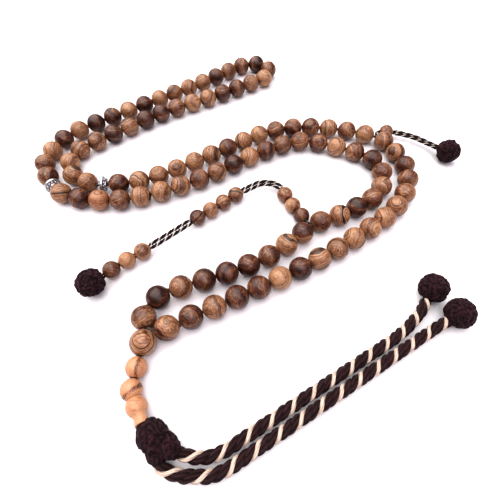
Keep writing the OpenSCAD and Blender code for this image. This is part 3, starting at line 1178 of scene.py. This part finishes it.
@dataclass
class Head:
    """The two head beads, the end bead and the doubled string through them.

    Attributes:
        finishes: the shared finishes.
        bead: the shape of a head bead.
        ball: the radius of the end bead's ball.
        neck: how far the end bead's neck reaches from the ball's centre.
        dish: the radius of the round dish in the end bead's top.
        dish_step: how far the dish's centre lies above the ball's.
        bore: the radius of the end bead's bore.
        hole: the radius at which the dish ends in the bore's mouth.
        sides: how many steps go round a bead.
        filled: how far from a head bead's middle the string runs straight, as a share of its
            radius.
    """

    finishes: Finishes
    bead: RoundBead = field(default_factory=lambda: RoundBead(3.3 * MM, 1.05 * MM))
    ball: float = 3.15 * MM
    neck: float = 5.3 * MM
    dish: float = 3.35 * MM
    dish_step: float = 5.2 * MM
    bore: float = 1.25 * MM
    hole: float = 2.0 * MM
    sides: int = 44
    filled: float = 0.96

    def beads(self) -> None:
        """Turns the two head beads: one with a streak down it, one with a slanted streak."""
        streaks = {
            "head_bead_upper": (np.array((0.99, -0.14, 0)), 0.9),
            "head_bead_lower": (np.array((0.66, -0.75, 0)), 1.1),
        }
        for name, (across, off) in streaks.items():
            spin = JOINTS[name + "_spin"]
            mesh = Mesher()

            def told(local: np.ndarray) -> dict[str, np.ndarray]:
                """Pale wood whose dark streak crosses the bead's top."""
                place = local / MM
                away = np.abs(place @ across - off)
                streak = np.clip(1.6 - away / 0.5, 0, 1) * np.clip(place[:, 2] + 0.5, 0, 1)
                tone = np.outer(streak, (0.66, 0, 0)) + (0.04, 0, 0.1)
                return {
                    "grain": place + (14, 0, 17 * off),
                    "figure": np.array((0.35, 0.0, 0.3)),
                    "tone": tone,
                }

            at, axis = Vector(spin["pos_m"]), Vector(spin["axis"])
            mesh.lathe(self.bead.profile(), at, axis, self.sides, note=told)
            settle(mesh.piece("wood_" + name, self.finishes.pale_wood), name, "pale_wood", name)

    def end_bead(self) -> None:
        """Turns the end bead, a ball with a flared neck and a dish for the bead above."""
        r, n, bore = self.ball, self.neck, self.bore
        meet = (self.dish**2 - r**2 + self.dish_step**2) / (2 * self.dish_step)
        lip_z = meet - self.dish_step
        lip_r = math.sqrt(r**2 - lip_z**2)
        dish = []
        rim, hole = math.asin(lip_r / self.dish), math.asin(self.hole / self.dish)
        for a in np.linspace(rim, hole, 6):
            dish.append((self.dish * math.sin(a), self.dish * math.cos(a) - self.dish_step))
        start, stop = math.acos(lip_z / r), math.acos(n * 0.42 / r)
        ball = [(r * math.sin(a), r * math.cos(a)) for a in np.linspace(start, stop, 18)]
        neck = [
            (r * 0.60, n * 0.52), (r * 0.585, n * 0.62), (r * 0.60, n * 0.74),
            (r * 0.645, n * 0.88), (r * 0.67, n * 0.96), (r * 0.66, n), (bore * 1.06, n),
            (bore, n * 0.97),
        ]
        profile = dish[::-1] + ball + neck + [(bore, 0.0), (1.6 * MM, -r * 0.5)]
        spin = JOINTS["end_bead_spin"]
        told = Look(Tone.PALE, Figure.PLAIN).notes(random.Random(3))

        def plain(local: np.ndarray) -> dict[str, np.ndarray]:
            """The palest wood, with hardly a line."""
            notes = told(local)
            notes["figure"] = np.array((0.12, 0.0, 0.1))
            notes["tone"] = np.array((0.04, 0.0, 0.18))
            return notes

        mesh = Mesher()
        at, axis = Vector(spin["pos_m"]), Vector(spin["axis"])
        mesh.lathe(profile[::-1], at, axis, self.sides, note=plain)
        piece = mesh.piece("wood_end_bead", self.finishes.pale_wood)
        settle(piece, "end_bead", "pale_wood", "end_bead")

    def string(self) -> None:
        """Runs the doubled string from the junction bead to the end bead's mouth."""
        start = Vector(JOINTS["head_swing"]["pos_m"])
        points = [start]
        for name in ("head_bead_upper", "head_bead_lower"):
            spin = JOINTS[name + "_spin"]
            way = Vector(spin["axis"]) * self.bead.radius * self.filled
            points += [Vector(spin["pos_m"]) - way, Vector(spin["pos_m"]) + way]
        points += [Vector(JOINTS["end_bead_spin"]["pos_m"]), Vector(JOINTS["tassel_swing"]["pos_m"])]
        mesh = Mesher()
        for rise in (STRAND_OFFSET, -STRAND_OFFSET):
            add_string(mesh, [p + UP * rise for p in points])
        settle(mesh.piece("doubled_string", self.finishes.string), "head", "string", "head_string")


# ---- Yarn and cords ----

# The turn that spreads directions evenly over a ball, in radians.
GOLDEN_TURN = 2.39996
# By what share a ply swells and shrinks along a cord.
LUMPS = 0.035


@dataclass
class WoundYarn:
    """A ball or a knot of yarn, wound over itself in many turns.

    Attributes:
        radius: half its width.
        half: half its length along its axis.
        turns: how many turns show.
        thick: the radius of the yarn.
        seed: the number that its chance starts from.
    """

    radius: float = 5.0 * MM
    half: float = 5.0 * MM
    turns: int = 26
    thick: float = 0.95 * MM
    seed: int = 1

    def wind(self, centre: Vector, axis: Vector, mesh: Mesher) -> None:
        """Winds the yarn round a core that fills the gaps.

        Args:
            centre: the ball's centre.
            axis: the direction of its length.
            mesh: the mesh that it is added to.
        """
        rng = random.Random(self.seed)
        turn = np.array(UP.rotation_difference(axis).to_matrix())
        stretch = np.array([1, 1, self.half / self.radius])
        core = self.radius - 1.1 * self.thick
        rows = [(core * math.sin(a), core * math.cos(a)) for a in np.linspace(0.05, 3.09, 18)]
        local = Mesher()
        local.lathe(rows, Vector((0, 0, 0)), UP, 28)
        verts = local.verts[0] * stretch @ turn.T + np.array(centre)
        mesh.add(verts, local.faces, strand=local.verts[0] / MM)
        top = self.radius - self.thick * 1.02
        steps = 64
        s = np.linspace(0, TAU, steps, endpoint=False)
        for i in range(self.turns):
            # The turns' planes face evenly all round, with a little chance in their lean.
            z = 1 - 2 * (i + 0.5) / self.turns
            spin = i * GOLDEN_TURN
            flat = math.sqrt(1 - z * z)
            normal = Vector((flat * math.cos(spin), flat * math.sin(spin), z))
            normal = (normal + 0.25 * Vector([rng.uniform(-1, 1) for _ in range(3)])).normalized()
            u = normal.orthogonal().normalized()
            v = normal.cross(u)
            # A turn lies off the middle, and weaves under and over the others.
            off = rng.uniform(0.15, 0.72) * top
            dip = 0.5 * self.thick
            weave = top - dip + dip * np.sin(rng.choice((3, 4, 5)) * s + rng.uniform(0, TAU))
            ring = np.sqrt(np.maximum(weave**2 - off**2, (0.3 * top) ** 2))
            line = (
                np.outer(ring * np.cos(s), u) + np.outer(ring * np.sin(s), v)
                + off * np.array(normal)
            )
            size = self.thick * rng.uniform(0.85, 1.1) * (
                1 + 0.07 * np.sin(7 * s + rng.uniform(0, TAU))
            )
            line = line * stretch @ turn.T + np.array(centre)
            mesh.tube(line, size, 8, closed=True, turns=0.45, lobes=(2, 0.1))

    def build(
        self, name: str, centre: Vector, axis: Vector, body: str, node: str, finishes: Finishes
    ) -> bpy.types.Object:
        """Makes the ball or knot that stands for a CAD node.

        Args:
            name: the piece's name.
            centre: its centre.
            axis: the direction of its length.
            body: the body that it rides on.
            node: the CAD node that it stands for.
            finishes: the shared finishes.

        Returns:
            The piece.
        """
        mesh = Mesher()
        self.wind(centre, axis, mesh)
        piece = mesh.piece(name, finishes.knot_yarn)
        return settle(piece, body, "knotted_yarn", node)


@dataclass
class PliedCord:
    """A cord laid up from two dark plies and a thinner cream one.

    Attributes:
        diameter: the cord's diameter.
        lay: how far a ply goes along the cord in one turn.
        loose: how much longer that is at the start, where the cord opens.
        loose_over: how far from the start it has mostly closed.
        step: how far the rings of a ply are apart.
        sides: how many vertices such a ring has.
        start: how far the plies are turned at the start, in radians.
    """

    diameter: float = 3.8 * MM
    lay: float = 7.0 * MM
    loose: float = 1.0
    loose_over: float = 14 * MM
    step: float = 0.35 * MM
    sides: int = 12
    start: float = 0.0

    def plies(self) -> list[tuple[float, float, float, int]]:
        """Each ply's place round the cord, distance out, radius and material number."""
        r = self.diameter / 2
        return [
            (math.radians(-62), r * 0.455, r * 0.545, 0),
            (math.radians(62), r * 0.455, r * 0.545, 0),
            (math.radians(180), r * 0.64, r * 0.315, 1),
        ]

    def lay_up(self, centre: np.ndarray, swell: np.ndarray | float = 1.0) -> Mesher:
        """Lays up the cord.

        Args:
            centre: one row for each step along its middle.
            swell: how much thicker than its diameter it is, for each step.

        Returns:
            The mesh.
        """
        swell = np.broadcast_to(swell, (len(centre),))
        _, side, top = frames_along(centre)
        run = np.concatenate(
            [[0.0], np.cumsum(np.linalg.norm(np.diff(centre, axis=0), axis=1))]
        )
        pitch = self.lay * (1 + (self.loose - 1) * np.exp(-run / self.loose_over))
        turned = np.concatenate([[0.0], np.cumsum(np.diff(run) / pitch[1:])]) * TAU
        mesh = Mesher()
        for place, out, radius, slot in self.plies():
            angle = self.start + place + turned
            line = (
                centre
                + (out * swell * np.cos(angle))[:, None] * side
                + (out * swell * np.sin(angle))[:, None] * top
            )
            lumps = 1 + LUMPS * np.sin(run / (0.9 * self.diameter) * TAU + place)
            mesh.tube(line, radius * lumps * swell, self.sides, slot=slot)
        return mesh


@dataclass
class Tassel:
    """The yarn knot, and two plied cords that end in yarn balls.

    Attributes:
        finishes: the shared finishes.
        back_route: the back cord's route in millimetres, the same as the CAD cord follows.
        front_route: the same for the front cord.
        way: the direction in which the knot leaves the end bead.
        nose_in: how far along that way the knot's nose sits from the tassel's pivot.
        knot_in: how far from the nose its middle sits.
    """

    finishes: Finishes
    back_route: tuple = (
        (-11.5, -92, 2.7), (-8.5, -93, 2.2), (-5, -93.8, 1.9), (-1, -93.8, 1.9),
        (3, -92.5, 1.9), (6, -90.8, 1.9), (9, -89, 1.9), (14, -86, 1.9), (24, -80, 1.9),
        (34, -74, 1.9), (44, -68, 1.9), (54, -62, 1.9), (59, -58.6, 1.9), (63, -55.2, 1.9),
        (66.5, -51.6, 2.4), (69, -48, 3.2),
    )
    front_route: tuple = (
        (-14.4, -95.3, 2.7), (-11.8, -97, 2.2), (-8, -98, 1.9), (-4, -98.3, 1.9),
        (0, -98.1, 1.9), (4, -96.8, 1.9), (8, -94.4, 1.9), (12, -92, 1.9), (22, -86, 1.9),
        (32, -80, 1.9), (42, -74, 1.9), (52, -68, 1.9), (62, -62, 1.9), (67, -59, 1.9),
        (71, -56.8, 2.4), (74.5, -55, 3.2),
    )
    way: tuple[float, float, float] = (0.6, -0.8, 0)
    nose_in: float = 0.45 * MM
    knot_in: float = 4.2 * MM

    def cords(self) -> None:
        for which, points, seed, start in (
            ("back", self.back_route, 3, 0.4),
            ("front", self.front_route, 4, 2.0),
        ):
            route = millimetres(*points)
            cord = PliedCord(loose=1.5, start=start)
            piece = cord.lay_up(smooth_line(route, cord.step)).piece(
                f"plied_cord_{which}", self.finishes.dark_yarn, self.finishes.cream_yarn
            )
            body = "tassel_" + which
            settle(piece, body, "tassel_cord", "tassel_cord_" + which)
            node = "tassel_ball_" + which
            low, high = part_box(node)
            ball = WoundYarn(seed=seed).build(
                "yarn_ball_" + which, (low + high) / 2, UP, body, node, self.finishes
            )

    def knot(self) -> None:
        """Winds the knot between the end bead and the cords."""
        way = Vector(self.way)
        nose = Vector(JOINTS["tassel_swing"]["pos_m"]) + way * self.nose_in
        middle = nose + way * self.knot_in + Vector((0.5, 0.8, 0)) * MM
        tip = nose + way * 0.5 * MM
        back, front = millimetres((-12.0, -91.0, 3.8), (-14.6, -93.7, 3.2))
        lobes = (
            (middle, way, WoundYarn(4.5 * MM, 5.2 * MM, turns=30, thick=0.85 * MM, seed=8)),
            (tip, way, WoundYarn(2.1 * MM, 2.4 * MM, turns=12, thick=0.55 * MM, seed=9)),
            (
                back, Vector((0.78, -0.63, 0)),
                WoundYarn(3.3 * MM, 5.0 * MM, turns=22, thick=0.80 * MM, seed=10),
            ),
            (
                front, Vector((0.75, -0.66, 0)),
                WoundYarn(2.6 * MM, 3.3 * MM, turns=14, thick=0.75 * MM, seed=12),
            ),
        )
        mesh = Mesher()
        for centre, axis, lobe in lobes:
            lobe.wind(centre, axis, mesh)
        piece = mesh.piece("yarn_knot", self.finishes.knot_yarn)
        settle(piece, "tassel_knot", "knotted_yarn", "tassel_knot")


@dataclass
class SideString:
    """A thin plied cord doubled over the loop's string, with small beads and a yarn ball.

    Attributes:
        name: the string's name in its nodes and body.
        route: the middle line in millimetres, the same as the CAD cord follows.
        finishes: the shared finishes.
        beads: the CAD nodes of its beads.
        looks: a tone and a figure for each bead, in the codes of Tone and Figure.
        seed: the number that its chance starts from.
        bead: the shape of a bead.
        level_way: the bore's direction in a bead that neither spins nor slides along it.
        thick: the thickness of the cord.
        offset: how far each half of the cord lies from the middle line in a bore.
        apart: how much further out each half lies where it is free.
        swollen: how much thicker the cord is where it is free.
        held: how far from a bead's middle, or the hitch, the cord is still held.
        freed: over what length past that it swells and parts.
    """

    name: str
    route: tuple
    finishes: Finishes
    beads: tuple[str, ...] = ()
    looks: str = ""
    seed: int = 21
    bead: RoundBead = field(default_factory=lambda: RoundBead(3.14 * MM, 0.95 * MM))
    level_way: tuple[float, float, float] = (25, -1, 0)
    thick: float = 0.8 * MM
    offset: float = 0.45 * MM
    apart: float = 0.42 * MM
    swollen: float = 1.7
    held: float = 2.6 * MM
    freed: float = 1.6 * MM

    def build(self) -> None:
        """Makes the beads, the ball and both halves of the cord."""
        rng = random.Random(self.seed)
        body = self.name + "_string"
        pieces, centres = [], []
        for bead, look in zip(self.beads, Look.read(self.looks)):
            low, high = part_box(bead)
            joint = JOINTS.get(bead + "_spin") or JOINTS.get(bead + "_slide")
            axis = Vector(joint["axis"]) if joint else Vector(self.level_way).normalized()
            mesh = Mesher()
            centres.append((low + high) / 2)
            self.bead.turn(mesh, (low + high) / 2, axis, look, rng)
            piece = mesh.piece("wood_" + bead, self.finishes.wood)
            pieces.append(settle(piece, bead, "figured_wood", bead))
        ball = self.name + "_ball"
        low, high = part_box(ball)
        pieces.append(
            WoundYarn(seed=self.seed).build(
                f"yarn_{ball}", (low + high) / 2, UP, body, ball, self.finishes
            )
        )
        for which, amount in (("a", self.offset), ("b", -self.offset)):
            route = beside(millimetres(*self.route), amount, (90, 45, 0))
            cord = PliedCord(
                diameter=self.thick, lay=3.4 * MM, step=0.2 * MM, sides=8,
                start=1.0 if which == "a" else 3.6,
            )
            line = smooth_line(route, cord.step)
            holders = centres + [route[0]]
            away = np.min([np.linalg.norm(line - np.array(c), axis=1) for c in holders], axis=0)
            free = np.clip((away - self.held) / self.freed, 0, 1)
            level = np.cross(frames_along(line)[0], [0.0, 0.0, 1.0])
            line += level * (math.copysign(self.apart, amount) * free)[:, None]
            piece = cord.lay_up(line, 1 + (self.swollen - 1) * free).piece(
                f"thin_{self.name}_cord_{which}", self.finishes.thin_dark,
                self.finishes.thin_cream,
            )
            settle(piece, body, "thin_cord", f"{self.name}_cord_{which}")


COUNTER_ROUTE = (
    (32.9, -17.2, 4), (32.3, -16.2, 3.7), (32, -14.6, 3.2), (29, -9.5, 3), (26, -4, 3),
    (23.5, 1.6, 3), (22.3, 3.4, 3), (20.5, 4.6, 3), (18, 5.2, 3), (15.5, 5, 3), (13, 4, 3),
    (2.5, -3, 3), (-2, -7.5, 3), (-7, -11, 3), (-30.5, -30.5, 3), (-35.5, -34, 3),
    (-40, -38.5, 3), (-42, -41, 4.3),
)
MARKER_ROUTE = (
    (67.2, 33.2, 4), (67.7, 34, 3.7), (68.3, 35, 3.3), (69, 36.1, 3.1), (70, 36.8, 3),
    (72, 37, 3), (74, 36.9, 3), (76, 36.7, 3), (78, 36.3, 3), (80, 35.7, 3), (82, 34.9, 3),
    (84, 33.9, 3), (86, 32.7, 3), (88, 31.2, 3), (90, 29.3, 3.1), (92, 27, 3.5),
    (93.6, 24.6, 4.1),
)


def main() -> None:
    """Builds the studio and the misbaha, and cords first."""
    logging.basicConfig(level=logging.INFO, format="%(name)s: %(message)s")
    studio = Studio()
    studio.camera()
    finishes = Finishes()
    tassel = Tassel(finishes)
    tassel.cords()
    SideString(
        "counter", COUNTER_ROUTE, finishes,
        beads=tuple(f"counter_bead_{i:02d}" for i in range(1, 11)),
        looks="R- L- Nb Nb M- Lp Rk L- V- Rh", seed=21,
    ).build()
    SideString(
        "marker", MARKER_ROUTE, finishes, beads=("marker_bead",), looks="N-", seed=22
    ).build()
    tassel.knot()
    head = Head(finishes)
    head.beads()
    head.end_bead()
    head.string()
    loop = Loop(Strung.read(), finishes)
    loop.beads()
    loop.spacers()
    loop.string()
    studio.build(finishes)


if __name__ == "__main__":
    main()
